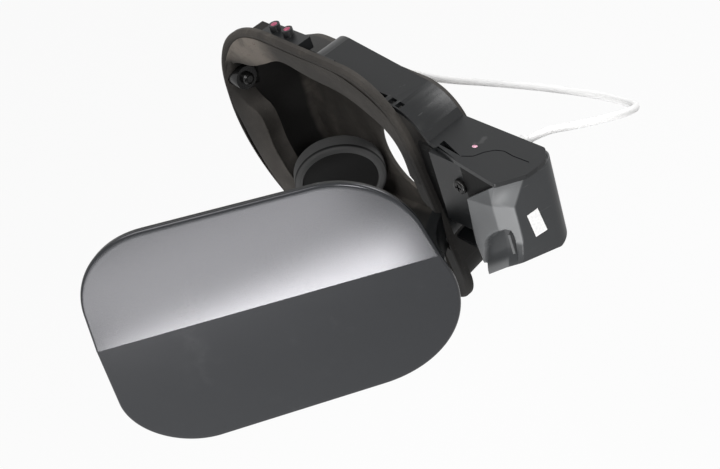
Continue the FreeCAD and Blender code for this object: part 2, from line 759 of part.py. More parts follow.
def make_lock_pin():
    """Lock pin with a rounded tip, drawn back."""
    foot = V(lock_tip_x - lock_pin_length, lock_y, lock_z)
    pin = Part.makeCylinder(lock_pin_radius, lock_pin_length, foot, X_AXIS)
    tip = [edge for edge in pin.Edges if abs(edge.BoundBox.XMin - lock_tip_x) < 1e-6]
    return pin.makeFillet(lock_tip_round, tip)


def make_striker():
    """Striker on the flap: a tab with the window that the lock pin enters."""
    x = lock_tip_x + striker_gap
    lean = math.tan(math.radians(upper_lean))
    face_y = closed_y + pad_face_depth() + (lock_z - crease_z) * lean - striker_sink
    reach = lock_y + lock_pin_radius + striker_window_clearance + striker_edge
    corners = [
        V(x, face_y, lock_z - striker_width / 2), V(x, reach, lock_z - striker_width / 2),
        V(x, reach, lock_z + striker_width / 2), V(x, face_y, lock_z + striker_width / 2),
    ]
    tab = prism(rounded_wire(corners, [0.0, striker_round, striker_round, 0.0]), X_AXIS * striker_thickness)
    depth = pad_face_depth()
    foot = striker_footprint(0.0).common(flap_slab(depth, depth + striker_foot_margin))
    tab = tab.cut(flap_slab(-bowl_depth, depth))
    window = Part.makeCylinder(lock_pin_radius + striker_window_clearance, 3 * striker_thickness,
                               V(x - striker_thickness, lock_y, lock_z), X_AXIS)
    return tab.fuse(foot).cut(window).removeSplitter()


def make_flap_buffers():
    """Rubber buffers on the inner panel that meet the lip when the flap is shut."""
    buffers = []
    depth = pad_face_depth()
    levels = [flap_top_z - gap for gap in buffer_top_gaps]
    levels += [flap_bottom_z + gap for gap in buffer_bottom_gaps]
    places = [far_end_x + buffer_end_gaps[0], hinge_end_x - buffer_hinge_gaps[0],
              far_end_x + buffer_end_gaps[1], hinge_end_x - buffer_hinge_gaps[1]]
    for x, z in zip(places, levels):
        stub = Part.makeCylinder(buffer_radius, bowl_depth, V(x, closed_y, z), Y_AXIS)
        buffers.append(stub.common(flap_slab(depth, depth + buffer_height)))
    return Part.makeCompound(buffers)


def make_clip_block():
    """Clip block on the carrier's rail behind the upper lip, with two studs."""
    z = rail_z + rail_height
    y = carrier_front_y
    body = Part.makeBox(clip_length, clip_depth, clip_height, V(clip_x, y, z))
    studs = [Part.makeCylinder(clip_stud_radius, clip_stud_height,
                               V(clip_x + place, y + clip_depth / 2, z + clip_height), Z_AXIS)
             for place in clip_stud_places]
    return body.fuse(studs).cut(bowl_body(cover_gap))


def placed_cap(shape):
    """Turn a piece made along +Z to the cap's axis and move it into the bowl."""
    shape.Placement = FreeCAD.Placement(cap_centre, FreeCAD.Rotation(Z_AXIS, cap_normal))
    return shape


def make_cap_shell():
    """Cap shell: a skirt with rounded shoulders and a plain recessed front."""
    half = cap_thickness / 2
    body = Part.makeCylinder(cap_radius, cap_thickness, V(0, 0, -half), Z_AXIS)
    recess = Part.makeCone(cap_recess_radius - cap_recess_depth / 2, cap_recess_radius, cap_recess_depth,
                           V(0, 0, half - cap_recess_depth), Z_AXIS)
    front = [edge for edge in body.Edges if edge.BoundBox.ZMin > half - cap_back_round]
    back = [edge for edge in body.Edges if edge.BoundBox.ZMax < cap_back_round - half]
    body = body.makeFillet(cap_shoulder_round, front).makeFillet(cap_back_round, back)
    return placed_cap(body.cut(recess).removeSplitter())


def make_cap_neck():
    """Plug of the cap behind its skirt."""
    half = cap_thickness / 2
    start = V(0, 0, -half - cap_neck_length)
    return placed_cap(Part.makeCylinder(cap_neck_radius, cap_neck_length, start, Z_AXIS))


def make_cap_seal():
    """Seal ring round the plug."""
    half = cap_thickness / 2
    start = V(0, 0, -half - 2 * cap_seal_section)
    ring = Part.makeCylinder(cap_neck_radius + 2 * cap_seal_section, 2 * cap_seal_section, start, Z_AXIS)
    return placed_cap(ring.cut(Part.makeCylinder(cap_neck_radius, 2 * cap_seal_section, start, Z_AXIS)))


def cable_path():
    """Wire of straight runs and tangent arcs through the cable's points, with its length."""
    points = [V(*point) for point in cable_points]
    edges = []
    last = points[0]
    for before, here, after in zip(points, points[1:], points[2:]):
        back = before - here
        ahead = after - here
        turn = math.pi - back.getAngle(ahead)
        reach = 0.45 * min(back.Length, ahead.Length)
        radius = reach / math.tan(turn / 2)
        start = here + back.normalize() * reach
        end = here + ahead.normalize() * reach
        inward = (back + ahead).normalize()
        middle = here + inward * (radius / math.cos(turn / 2) - radius)
        edges.append(Part.LineSegment(last, start).toShape())
        edges.append(Part.Arc(start, middle, end).toShape())
        last = end
    edges.append(Part.LineSegment(last, points[-1]).toShape())
    return Part.Wire(edges)


def make_release_cable():
    """Sleeve of the release cable."""
    path = cable_path()
    first, second = V(*cable_points[0]), V(*cable_points[1])
    ring = Part.Wire(Part.makeCircle(cable_diameter / 2, first, second - first))
    tube = path.makePipeShell([ring], True, True)
    section = math.pi * cable_diameter ** 2 / 4
    print("cable length %.1f, volume ratio %.4f" % (path.Length, tube.Volume / (section * path.Length)))
    return tube


def make_cable_ferrules():
    """Ferrules in which the cable's ends enter the floor of the bowl and the back of the hinge box."""
    ferrules = []
    for end, beside in ((cable_points[0], cable_points[1]), (cable_points[-1], cable_points[-2])):
        way = (V(*beside) - V(*end)).normalize()
        sleeve = Part.makeCylinder(ferrule_radius, ferrule_length, V(*end), way)
        ferrules.append(sleeve.cut(Part.makeCylinder(cable_diameter / 2, ferrule_length, V(*end), way)))
    return Part.makeCompound(ferrules)


nodes = {
    "bowl": make_bowl(),
    "carrier": make_carrier(),
    "hinge_box_cover": make_hinge_box_cover(),
    "cover_screw": make_cover_screw(),
    "hinge_pin": make_hinge_pin(),
    "hinge_spring": make_hinge_spring(),
    "lock_housing": make_lock_housing(),
    "lock_pin": make_lock_pin(),
    "clip_block": make_clip_block(),
    "cap_shell": make_cap_shell(),
    "cap_neck": make_cap_neck(),
    "cap_seal": make_cap_seal(),
    "release_cable": make_release_cable(),
    "cable_ferrules": make_cable_ferrules(),
    "flap_skin": opened(make_flap_skin()),
    "flap_inner": opened(make_flap_inner()),
    "hinge_arm": opened(make_hinge_arm()),
    "arm_screws": opened(make_arm_screws()),
    "striker": opened(make_striker()),
    "flap_buffers": opened(make_flap_buffers()),
}

for name, shape in nodes.items():
    print(name, "solids", len(shape.Solids), "valid", shape.isValid(), "volume %.0f" % shape.Volume)
    shape.exportStep("parts/%s.step" % name)
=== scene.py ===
# %% [markdown]
# # A fuel filler flap unit
#
# The part is the filler flap of a car with all that carries it: a painted flap, its gooseneck arm, a
# soft bowl round the filler neck, a hard carrier with the hinge box, a loose filler cap and the
# release cable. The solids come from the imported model. This file gives them their finishes and adds
# the forms that a solid model leaves plain.

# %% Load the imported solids
import bpy
import math
import numpy as np
from mathutils import Matrix, Vector


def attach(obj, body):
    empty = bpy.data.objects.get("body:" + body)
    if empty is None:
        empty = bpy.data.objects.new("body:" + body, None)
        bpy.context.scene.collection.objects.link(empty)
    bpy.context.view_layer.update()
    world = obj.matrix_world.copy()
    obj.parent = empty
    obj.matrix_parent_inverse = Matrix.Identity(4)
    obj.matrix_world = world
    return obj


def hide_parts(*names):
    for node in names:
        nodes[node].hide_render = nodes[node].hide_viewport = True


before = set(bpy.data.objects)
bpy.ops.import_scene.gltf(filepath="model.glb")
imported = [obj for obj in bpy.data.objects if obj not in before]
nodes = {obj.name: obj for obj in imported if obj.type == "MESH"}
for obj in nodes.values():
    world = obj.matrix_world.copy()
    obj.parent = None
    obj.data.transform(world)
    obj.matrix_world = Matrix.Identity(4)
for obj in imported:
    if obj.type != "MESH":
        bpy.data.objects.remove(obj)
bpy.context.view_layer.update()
MM = 0.001

# %% [markdown]
# ## Camera
#
# The camera stands above and in front of the hinge end and is rolled to one side, because the unit
# lies at a slant in its picture. A matrix made of the image's right, up and back directions gives
# the place and the roll at once, which is safer than three angles.

# %% Camera at the picture's angle
IMAGE_RIGHT = Vector((0.6356, 0.7214, -0.2750))
IMAGE_UP = Vector((-0.3450, 0.5840, 0.7348))
IMAGE_BACK = Vector((0.6906, -0.3722, 0.6201))
CAMERA_PLACE = Vector((0.5154, -0.3320, 0.44305))
FOCAL_LENGTH = 62.5

camera_data = bpy.data.cameras.new("camera")
camera_data.lens = FOCAL_LENGTH
camera_data.sensor_width = 36.0
camera_data.clip_start = 0.01
camera = bpy.data.objects.new("camera", camera_data)
bpy.context.scene.collection.objects.link(camera)
turn = Matrix((IMAGE_RIGHT, IMAGE_UP, IMAGE_BACK)).transposed().to_4x4()
camera.matrix_world = Matrix.Translation(CAMERA_PLACE) @ turn
bpy.context.scene.camera = camera
bpy.context.scene.view_settings.view_transform = "Standard"
print("camera at", tuple(round(c, 3) for c in CAMERA_PLACE))

# %% [markdown]
# ## Shader maths
#
# A material is a small network of nodes. Written out one by one the nodes hide the idea, so one
# class wraps a socket and lets plain arithmetic add the Math nodes. A second class holds the
# material itself and makes every other node from its type, its settings and its inputs.

# %% Values and finishes
class Value:
    """A number that varies over a surface; arithmetic on it adds Math nodes."""

    def __init__(self, finish, socket):
        self.finish = finish
        self.socket = socket

    def maths(self, operation, first, second=0.0):
        """One Math node with this operation on two numbers or values."""
        return self.finish.node("ShaderNodeMath", {"operation": operation}, {0: first, 1: second})

    def __add__(self, other):
        return self.maths("ADD", self, other)

    def __radd__(self, other):
        return self.maths("ADD", other, self)

    def __sub__(self, other):
        return self.maths("SUBTRACT", self, other)

    def __rsub__(self, other):
        return self.maths("SUBTRACT", other, self)

    def __mul__(self, other):
        return self.maths("MULTIPLY", self, other)

    def __rmul__(self, other):
        return self.maths("MULTIPLY", other, self)

    def above(self, low, high):
        """0 below low, 1 above high, and smooth between the two."""
        return self.finish.node("ShaderNodeMapRange", {"interpolation_type": "SMOOTHSTEP"},
                                {0: self, 1: low, 2: high})


class Finish:
    """One procedural material, on Object coordinates in metres."""

    def __init__(self, name):
        self.material = bpy.data.materials.new(name)
        self.material.use_nodes = True
        self.tree = self.material.node_tree
        self.shader = self.tree.nodes["Principled BSDF"]
        self.place = self.node("ShaderNodeTexCoord", out="Object")

    def put(self, socket, value):
        """Link a value to a socket, or set it there as a constant."""
        if isinstance(value, Value):
            self.tree.links.new(value.socket, socket)
        else:
            socket.default_value = value

    def node(self, kind, settings=None, inputs=None, out=0):
        """A node of any type: its settings first, then the values or links of its sockets."""
        made = self.tree.nodes.new(kind)
        for key, value in (settings or {}).items():
            setattr(made, key, value)
        for key, value in (inputs or {}).items():
            self.put(made.inputs[key], value)
        return Value(self, made.outputs[out])

    def noise(self, scale, detail=3.0, roughness=0.55, stretch=None):
        """Smooth noise from 0 to 1 with this many cells in a metre, stretched along the axes if asked."""
        place = self.place
        if stretch is not None:
            place = self.node("ShaderNodeMapping", None, {"Vector": place, "Scale": stretch})
        return self.node("ShaderNodeTexNoise", None,
                         {"Vector": place, "Scale": scale, "Detail": detail, "Roughness": roughness})

    def cells(self, scale):
        """Distance to the nearest of many scattered points, in cells."""
        return self.node("ShaderNodeTexVoronoi", None, {"Vector": self.place, "Scale": scale}, "Distance")

    def along(self, axis):
        """One Object coordinate as a number."""
        return self.node("ShaderNodeSeparateXYZ", None, {0: self.place}, axis)

    def attribute(self, name):
        """A number stored on the points of a mesh under a name."""
        return self.node("ShaderNodeAttribute", {"attribute_name": name}, None, "Fac")

    def mix(self, share, low, high):
        """Colour that goes from low to high with a share from 0 to 1."""
        return self.node("ShaderNodeMix", {"data_type": "RGBA"}, {"Factor": share, 6: low, 7: high}, 2)

    def bump(self, height, strength, distance):
        """Normal of a surface roughened by a height, strength 0 to 1, distance in metres."""
        return self.node("ShaderNodeBump", None,
                         {"Height": height, "Strength": strength, "Distance": distance})

    def surface(self, **sockets):
        """Set the shader's sockets by their names, with _ for a space, and hand back the material."""
        for key, value in sockets.items():
            self.put(self.shader.inputs[key.replace("_", " ")], value)
        return self.material


def grey(level, warm=0.0):
    """A near-grey colour, pulled a little towards yellow by warm or towards blue by a negative warm."""
    return (level * (1 + warm), level, level * (1 - warm), 1.0)


# %% [markdown]
# ## Finishes
#
# Every finish starts from what light does on the real surface. The flap has dark metallic paint
# under clear coat, so its two halves answer the same lamp very differently. The bowl is soft
# rubber with dust rubbed into it. The carrier and the cover are moulded plastic with a fine grain.

# %% Paint of the flap
def flap_paint():
    """Dark grey paint: fine flakes, faint haze and wiped smudges. Its gloss stands for the clear coat."""
    f = Finish("flap_paint")
    flakes = f.noise(5200.0, 1.0)
    haze = f.noise(38.0, 4.0)
    smudge = f.noise(21.0, 5.0, 0.7).above(0.56, 0.74)
    specks = 1.0 - f.cells(420.0).above(0.03, 0.06)
    dust = specks * f.noise(30.0, 2.0).above(0.5, 0.7)
    colour = f.mix(flakes.above(0.3, 0.8), grey(0.008, -0.12), grey(0.018, -0.12))
    colour = f.mix(smudge * 0.12, colour, grey(0.050, -0.02))
    colour = f.mix(dust * 0.3, colour, grey(0.10))
    rough = 0.175 + haze * 0.03 + smudge * 0.02
    return f.surface(Base_Color=colour, Metallic=0.0, Roughness=rough, Specular_IOR_Level=0.42,
                     Specular_Tint=(0.96, 0.95, 1.0, 1.0), Normal=f.bump(haze, 0.03, 0.0008))


# %% Moulded plastic and rubber
def moulded(name, level, warm, rough, grain_scale, grain_depth, dust_share, painted_light_level=None, gloss=0.36):
    """Moulded plastic: a fine grain, slow changes of gloss, and pale dust caught in patches. With a painted
    light level, the places that the mesh marks are painted paler, a painted sheen of the lamps."""
    f = Finish(name)
    grain = f.noise(grain_scale, 2.0)
    patches = f.noise(26.0, 4.0, 0.6)
    dust = f.noise(70.0, 5.0, 0.7).above(0.55, 0.85) * dust_share
    scratch = f.noise(60.0, 3.0, 0.6, (1.0, 1.0, 14.0)).above(0.66, 0.72)
    colour = f.mix(patches, grey(level * 0.8, warm), grey(level * 1.25, warm))
    colour = f.mix(dust, colour, grey(level * 2.5 + 0.05, 0.08))
    colour = f.mix(scratch * 0.12, colour, grey(0.22))
    if painted_light_level is not None:
        # Painted light: the share stored on the mesh paints lit places paler, in place of the lamps' sheen.
        colour = f.mix(f.attribute("wear_and_painted_light") * (0.8 + patches * 0.4), colour, grey(painted_light_level, warm * 0.3))
    return f.surface(Base_Color=colour, Roughness=rough + patches * 0.10 + dust * 0.3,
                     Specular_IOR_Level=gloss, Normal=f.bump(grain, 0.35, grain_depth))


def screw_cap():
    """Cap plastic: a dusty grey skirt and rim, and painted shade on the recess between two depths along the
    axis.
    """
    f = Finish("cap_plastic")
    grain = f.noise(2400.0, 2.0)
    patches = f.noise(26.0, 4.0, 0.6)
    dust = f.noise(70.0, 5.0, 0.7).above(0.50, 0.85)
    depth = f.along("X") * 0.80 - f.along("Y") * 0.58 - f.along("Z") * 0.14
    recess = depth.above(-0.0172, -0.0168) * (1.0 - depth.above(-0.0160, -0.0150))
    colour = f.mix(patches, grey(0.056), grey(0.078))
    colour = f.mix(dust * 0.15, colour, grey(0.20, 0.06))
    # Painted shade: the recess, which the flap shades, is painted nearly black.
    colour = f.mix(recess * 0.95, colour, grey(0.006))
    return f.surface(Base_Color=colour, Roughness=0.55 + patches * 0.10, Specular_IOR_Level=0.08,
                     Normal=f.bump(grain, 0.35, 0.00012))


def bowl_rubber():
    """Soft rubber: brown dust on the lip and on the floor, black walls between them, and painted shade at
    both ends.
    """
    f = Finish("bowl_rubber")
    cloud = f.noise(24.0, 6.0, 0.65)
    fine = f.noise(420.0, 4.0, 0.7)
    streak = f.noise(30.0, 5.0, 0.65, (1.0, 0.25, 1.0))
    depth = f.along("Y") + (cloud - 0.5) * 0.006
    wall = depth.above(-0.047, -0.042) * (1.0 - depth.above(-0.006, -0.002))
    near = f.along("X").above(0.030, 0.060)
    colour = f.mix(cloud.above(0.3, 0.75), grey(0.029, 0.10), grey(0.060, 0.10))
    colour = f.mix(streak.above(0.55, 0.8) * 0.4, colour, grey(0.14, 0.14))
    colour = f.mix(wall * (1.0 - near * 0.6), colour, grey(0.014, 0.04))
    # Painted shade at the hinge end, low down where the lip lies in shadow.
    shade = f.along("X").above(0.055, 0.068) * (1.0 - f.along("Z").above(0.058, 0.080))
    colour = f.mix(shade * 0.85, colour, grey(0.006, 0.04))
    # Painted shade at the far end of the bowl.
    far_painted_shade = 1.0 - f.along("X").above(-0.108, -0.096)
    colour = f.mix(far_painted_shade * 0.7, colour, grey(0.012, 0.04))
    colour = f.mix(fine.above(0.62, 0.8) * 0.25 * (1.0 - wall * 0.85), colour, grey(0.16, 0.12))
    return f.surface(Base_Color=colour, Roughness=0.62 + cloud * 0.2, Specular_IOR_Level=0.20,
                     Normal=f.bump(fine + cloud * 0.6, 0.35, 0.0006))


def funnel_rubber():
    """Rubber of the funnel band: brown-grey dust, a beige patch of wear at its far upper corner, painted
    shade at both ends.
    """
    f = Finish("funnel_rubber")
    cloud = f.noise(28.0, 6.0, 0.65)
    fine = f.noise(420.0, 4.0, 0.7)
    flecks = f.noise(240.0, 5.0, 0.75, (1.0, 1.0, 2.5))
    upper = f.along("Z").above(0.070, 0.088)
    # This share is wear: dust rubbed pale at the band's far upper corner.
    wear_and_painted_light = upper * (1.0 - f.along("X").above(-0.050, -0.025)) * cloud.above(0.30, 0.60)
    # Painted shade at the hinge end, low down where the band lies in shadow.
    shade = f.along("X").above(0.050, 0.064) * (1.0 - f.along("Z").above(0.058, 0.080))
    colour = f.mix(cloud.above(0.3, 0.75), grey(0.037, 0.09), grey(0.070, 0.09))
    colour = f.mix(wear_and_painted_light * 0.85, colour, grey(0.24, 0.13))
    colour = f.mix(wear_and_painted_light * flecks.above(0.60, 0.68), colour, (0.10, 0.045, 0.03, 1.0))
    colour = f.mix(fine.above(0.62, 0.8) * 0.3, colour, grey(0.20, 0.12))
    colour = f.mix(shade * 0.85, colour, grey(0.006))
    # Painted shade at the far end of the band.
    far_painted_shade = 1.0 - f.along("X").above(-0.106, -0.088)
    colour = f.mix(far_painted_shade * 0.65, colour, grey(0.012, 0.04))
    return f.surface(Base_Color=colour, Roughness=0.65 + cloud * 0.2, Specular_IOR_Level=0.20,
                     Normal=f.bump(fine + flecks * wear_and_painted_light * 2.0, 0.35, 0.0006))


def plain_metal(name, level, rough):
    """Drawn or turned steel with fine lines and slight tarnish."""
    f = Finish(name)
    lines = f.noise(300.0, 3.0, 0.6, (1.0, 1.0, 12.0))
    tarnish = f.noise(90.0, 4.0).above(0.45, 0.75)
    colour = f.mix(tarnish, grey(level), grey(level * 0.55, 0.06))
    return f.surface(Base_Color=colour, Metallic=1.0, Roughness=rough + lines * 0.15,
                     Normal=f.bump(lines, 0.12, 0.0002))


def cable_sleeve():
    """White plastic sleeve, faintly yellowed in patches, with a few grey marks."""
    f = Finish("cable_sleeve")
    patches = f.noise(40.0, 3.0)
    marks = f.noise(220.0, 2.0).above(0.70, 0.78)
    colour = f.mix(patches, grey(0.90), grey(0.96, 0.01))
    colour = f.mix(marks * 0.35, colour, grey(0.25, 0.02))
    return f.surface(Base_Color=colour, Roughness=0.38 + patches * 0.1,
                     Normal=f.bump(f.noise(900.0, 2.0), 0.1, 0.0002))


def marked(name, colour, patch, rough, gloss):
    """Thin paint or paper: one colour with slightly darker or paler patches and a set gloss."""
    f = Finish(name)
    cloud = f.noise(900.0, 3.0, 0.6)
    return f.surface(Base_Color=f.mix(cloud.above(0.35, 0.75), colour, patch), Roughness=rough + cloud * 0.1,
                     Specular_IOR_Level=gloss)


paint = flap_paint()
rubber = bowl_rubber()
black_plastic = moulded("carrier_plastic", 0.006, -0.10, 0.36, 2600.0, 0.00012, 0.05, gloss=0.33)
# The cover's last value is its level of painted light, the lamps' sheen painted on its front facets.
cover_plastic = moulded("cover_plastic", 0.026, -0.06, 0.40, 2200.0, 0.00015, 0.04, 0.26)
worn_plastic = moulded("worn_plastic", 0.09, -0.02, 0.40, 2200.0, 0.00015, 0.04)
inner_black = moulded("flap_inner", 0.008, 0.0, 0.45, 1800.0, 0.00012, 0.10)
cap_plastic = screw_cap()
web_plastic = moulded("web_plastic", 0.006, 0.0, 0.50, 2200.0, 0.00015, 0.06, gloss=0.10)
lock_plastic = moulded("lock_plastic", 0.006, 0.0, 0.22, 1200.0, 0.00008, 0.05)
seal_rubber = moulded("seal_rubber", 0.010, 0.02, 0.60, 1500.0, 0.00015, 0.12)
steel = plain_metal("steel", 0.42, 0.30)
dark_steel = plain_metal("dark_steel", 0.035, 0.30)
sleeve_white = cable_sleeve()
band_rubber = funnel_rubber()
label_paper = marked("label_paper", (0.92, 0.91, 0.90, 1.0), (0.80, 0.80, 0.80, 1.0), 0.6, 0.4)
marking_paint = marked("marking_paint", (0.60, 0.20, 0.32, 1.0), (0.85, 0.65, 0.72, 1.0), 0.4, 0.5)
marking_red = marked("marking_red", (0.28, 0.03, 0.08, 1.0), (0.50, 0.14, 0.22, 1.0), 0.4, 0.3)
groove_dark = marked("groove_dark", (0.004, 0.004, 0.005, 1.0), (0.008, 0.008, 0.009, 1.0), 0.8, 0.0)
print("finishes", len(bpy.data.materials))

# %% [markdown]
# ## Dress the solids
#
# A moulded edge is never a knife edge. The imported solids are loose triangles, so Weld joins their
# corners first and Bevel then rounds every edge sharper than a set angle. The light then catches
# the edges as it does on the real plastic.

# %% Materials and rounded edges on the solids
NODE_FINISH = {
    "bowl": rubber, "carrier": black_plastic, "hinge_box_cover": cover_plastic,
    "cover_screw": dark_steel, "hinge_pin": steel, "hinge_spring": steel, "lock_housing": lock_plastic,
    "lock_pin": lock_plastic, "clip_block": black_plastic, "cap_shell": cap_plastic,
    "cap_neck": cap_plastic, "cap_seal": seal_rubber, "release_cable": sleeve_white,
    "cable_ferrules": sleeve_white,
    "flap_skin": paint, "flap_inner": inner_black, "hinge_arm": black_plastic, "arm_screws": steel,
    "striker": lock_plastic, "flap_buffers": seal_rubber,
}
EDGE_ROUND = {"carrier": 0.7, "clip_block": 0.6, "lock_housing": 0.4, "hinge_arm": 0.8, "striker": 0.4,
              "flap_inner": 0.4, "cap_shell": 0.5, "bowl": 0.8}
SMOOTH_ANGLE = math.radians(32)
WELD_REACH = 0.01


def round_edges(piece, radius_mm):
    """Weld the corners of a solid's triangles, then round its sharp edges by a bevel."""
    weld = piece.modifiers.new("weld", "WELD")
    weld.merge_threshold = WELD_REACH * MM
    bevel = piece.modifiers.new("rounding", "BEVEL")
    bevel.width = radius_mm * MM
    bevel.segments = 2
    bevel.limit_method = "ANGLE"
    bevel.angle_limit = SMOOTH_ANGLE
    bevel.harden_normals = True


for name, material in NODE_FINISH.items():
    piece = nodes[name]
    piece.data.materials.clear()
    piece.data.materials.append(material)
    if name in EDGE_ROUND:
        round_edges(piece, EDGE_ROUND[name])
print("dressed", len(NODE_FINISH), "solids")

# %% [markdown]
# ## Painted skin of the flap
#
# The skin is a thin pressing in two flat halves that meet at a crisp crease, with its edge folded
# over all round. A slab with square edges would not catch the light, so the skin is worked out
# again as a surface: each half is ruled from the crease to the outline, and a rounded profile is
# carried along the outline to make the fold. The pressing is worked out shut and then turned open
# about the hinge, as the solid is.

# %% Outline of the flap
HINGE_END_X = 82.0
FLAP_LENGTH = 190.0
SIDE_DATUM_Z = 39.0
TOP_Z, TOP_SLOPE = 99.4, -0.028
BOTTOM_Z, BOTTOM_SLOPE = -37.0, 0.087
FAR_SLOPE, NEAR_SLOPE = 0.185, -0.162
FLAP_RADII = (45.7, 49.0, 39.3, 63.6)
CREASE_Z, CREASE_SLOPE = 43.0, 0.019
CREASE_Y = -64.8
UPPER_LEAN, LOWER_LEAN = math.radians(5.0), math.radians(3.5)
HINGE_PIVOT = np.array((114.4, -33.7, 39.0))
HINGE_AXIS = np.array((0.0359, -0.0423, 1.0))
OPEN_ANGLE = math.radians(50.15)


def side_corners():
    """Corners of the four slanted sides in X and Z: near top, far top, far bottom, near bottom."""
    corners = []
    top, bottom = (TOP_Z, TOP_SLOPE), (BOTTOM_Z, BOTTOM_SLOPE)
    near, far = (HINGE_END_X, NEAR_SLOPE), (HINGE_END_X - FLAP_LENGTH, FAR_SLOPE)
    for (level, slope), (side, lean) in ((top, near), (top, far), (bottom, far), (bottom, near)):
        z = (level + slope * (side - lean * SIDE_DATUM_Z - HINGE_END_X)) / (1 - slope * lean)
        corners.append((side + lean * (z - SIDE_DATUM_Z), z))
    return np.array(corners)


def rounded_loop(corners, radii, arc_points):
    """Closed loop of points: straight sides joined by arcs tangent to both, each arc about the point
    that lies its radius away from the two sides."""
    loop = []
    for index, corner in enumerate(corners):
        before = corners[index - 1] - corner
        after = corners[(index + 1) % len(corners)] - corner
        before /= np.linalg.norm(before)
        after /= np.linalg.norm(after)
        half = math.acos(np.clip(before @ after, -1, 1)) / 2
        centre = corner + (before + after) / np.linalg.norm(before + after) * radii[index] / math.sin(half)
        first = corner + before * radii[index] / math.tan(half) - centre
        last = corner + after * radii[index] / math.tan(half) - centre
        share = np.linspace(0, 1, arc_points)[:, None]
        spread = math.pi - 2 * half
        arc = first * np.sin((1 - share) * spread) + last * np.sin(share * spread)
        loop.append(centre + arc / math.sin(spread))
    return np.concatenate(loop)


def evenly(points, count):
    """The same line of points, spread evenly along its length."""
    steps = np.linalg.norm(np.diff(points, axis=0), axis=1)
    along = np.concatenate(([0.0], np.cumsum(steps)))
    wanted = np.linspace(0, along[-1], count)
    return np.stack([np.interp(wanted, along, points[:, k]) for k in range(points.shape[1])], axis=1)


def turned_open(points):
    """Points turned from shut to the open pose: the part of each arm along the hinge axis stays, and the
    part across it goes round by the open angle."""
    axis = HINGE_AXIS / np.linalg.norm(HINGE_AXIS)
    arm = points - HINGE_PIVOT
    along = (arm @ axis)[..., None] * axis
    turned = arm * math.cos(OPEN_ANGLE) + np.cross(axis, arm) * math.sin(OPEN_ANGLE)
    return HINGE_PIVOT + turned + along * (1 - math.cos(OPEN_ANGLE))


# %% Surfaces from grids
def grid_faces(rows, columns, start=0, closed=False):
    """Four-cornered faces of a grid of points numbered row by row, joined round if closed."""
    last = columns if closed else columns - 1
    row, column = np.meshgrid(np.arange(rows - 1), np.arange(last), indexing="ij")
    after = (column + 1) % columns
    this_row, next_row = row * columns, (row + 1) * columns
    corners = (this_row + column, this_row + after, next_row + after, next_row + column)
    return np.stack([c.ravel() for c in corners], axis=1) + start


def surface(name, points, faces, material, body, smooth_angle=None, wear_and_painted_light=None):
    """A mesh piece in metres from points in millimetres, smooth, that rides on a body. The share of wear and
    painted light from 0 to 1 at each point goes to the finish; on the cover it carries painted light."""
    mesh = bpy.data.meshes.new(name)
    mesh.from_pydata(points.reshape(-1, 3) * MM, [], faces.tolist())
    mesh.shade_smooth()
    if smooth_angle is not None:
        mesh.set_sharp_from_angle(angle=smooth_angle)
    if wear_and_painted_light is not None:
        mesh.attributes.new("wear_and_painted_light", "FLOAT", "POINT").data.foreach_set("value", wear_and_painted_light.ravel())
    mesh.materials.append(material)
    piece = bpy.data.objects.new(name, mesh)
    bpy.context.scene.collection.objects.link(piece)
    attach(piece, body)
    return piece


# %% The pressed skin
FOLD_ROUND = 1.3
SKIN_SHEET = 1.6
FOLD_RETURN = 4.0
HALF_POINTS = 220
RULE_POINTS = 26
RULE_LAST_STEP = 0.97
FOLD_POINTS = 7
ARC_POINTS = 60


def crease_height(x):
    """Height of the crease line at a place along the flap."""
    return CREASE_Z + CREASE_SLOPE * (x - HINGE_END_X)


def half_boundary(loop, upper):
    """The part of the outline on one side of the crease, from the far end to the hinge end."""
    above = loop[:, 1] - crease_height(loop[:, 0])
    sign = 1.0 if upper else -1.0
    inside = sign * above > 0
    start = np.flatnonzero(~inside & np.roll(inside, -1))[0]
    run = np.roll(loop, -start, axis=0)
    value = np.roll(above, -start)
    count = int(inside.sum())
    ends = []
    for low in (0, count):
        share = value[low] / (value[low] - value[(low + 1) % len(run)])
        ends.append(run[low] + share * (run[(low + 1) % len(run)] - run[low]))
    line = np.concatenate(([ends[0]], run[1:count + 1], [ends[1]]))
    line = evenly(line, HALF_POINTS)
    return line if line[0, 0] < line[-1, 0] else line[::-1]


def skin_half(loop, upper):
    """One half of the skin: straight rules from the crease to the outline less the fold's radius, then
    a quarter round, the edge of the sheet, and a flat return behind it."""
    edge = half_boundary(loop, upper)
    way = np.gradient(edge, axis=0)
    way /= np.linalg.norm(way, axis=1)[:, None]
    outward = np.stack((-way[:, 1], way[:, 0]), axis=1) * (1.0 if upper else -1.0)
    inner = edge - outward * FOLD_ROUND
    inner[0, 1] = crease_height(inner[0, 0])
    inner[-1, 1] = crease_height(inner[-1, 0])
    x = np.linspace(inner[0, 0], inner[-1, 0], HALF_POINTS)
    crease = np.stack((x, crease_height(x)), axis=1)
    rule = np.concatenate((np.linspace(0, RULE_LAST_STEP, RULE_POINTS - 1), [1.0]))[:, None, None]
    flat = crease + rule * (inner - crease)
    turn = np.linspace(0, math.pi / 2, FOLD_POINTS)[1:, None, None]
    fold = inner + outward * np.sin(turn) * FOLD_ROUND
    back = np.stack((edge, edge - outward * FOLD_RETURN))
    plan = np.concatenate((flat, fold, back))
    depth = np.zeros(plan.shape[:2])
    first = RULE_POINTS
    depth[first:first + FOLD_POINTS - 1] = FOLD_ROUND * (1 - np.cos(turn[:, :, 0]))
    depth[first + FOLD_POINTS - 1:] = SKIN_SHEET
    lean = math.tan(UPPER_LEAN) if upper else -math.tan(LOWER_LEAN)
    y = CREASE_Y + (plan[..., 1] - crease_height(plan[..., 0])) * lean + depth
    return np.stack((plan[..., 0], y, plan[..., 1]), axis=-1)


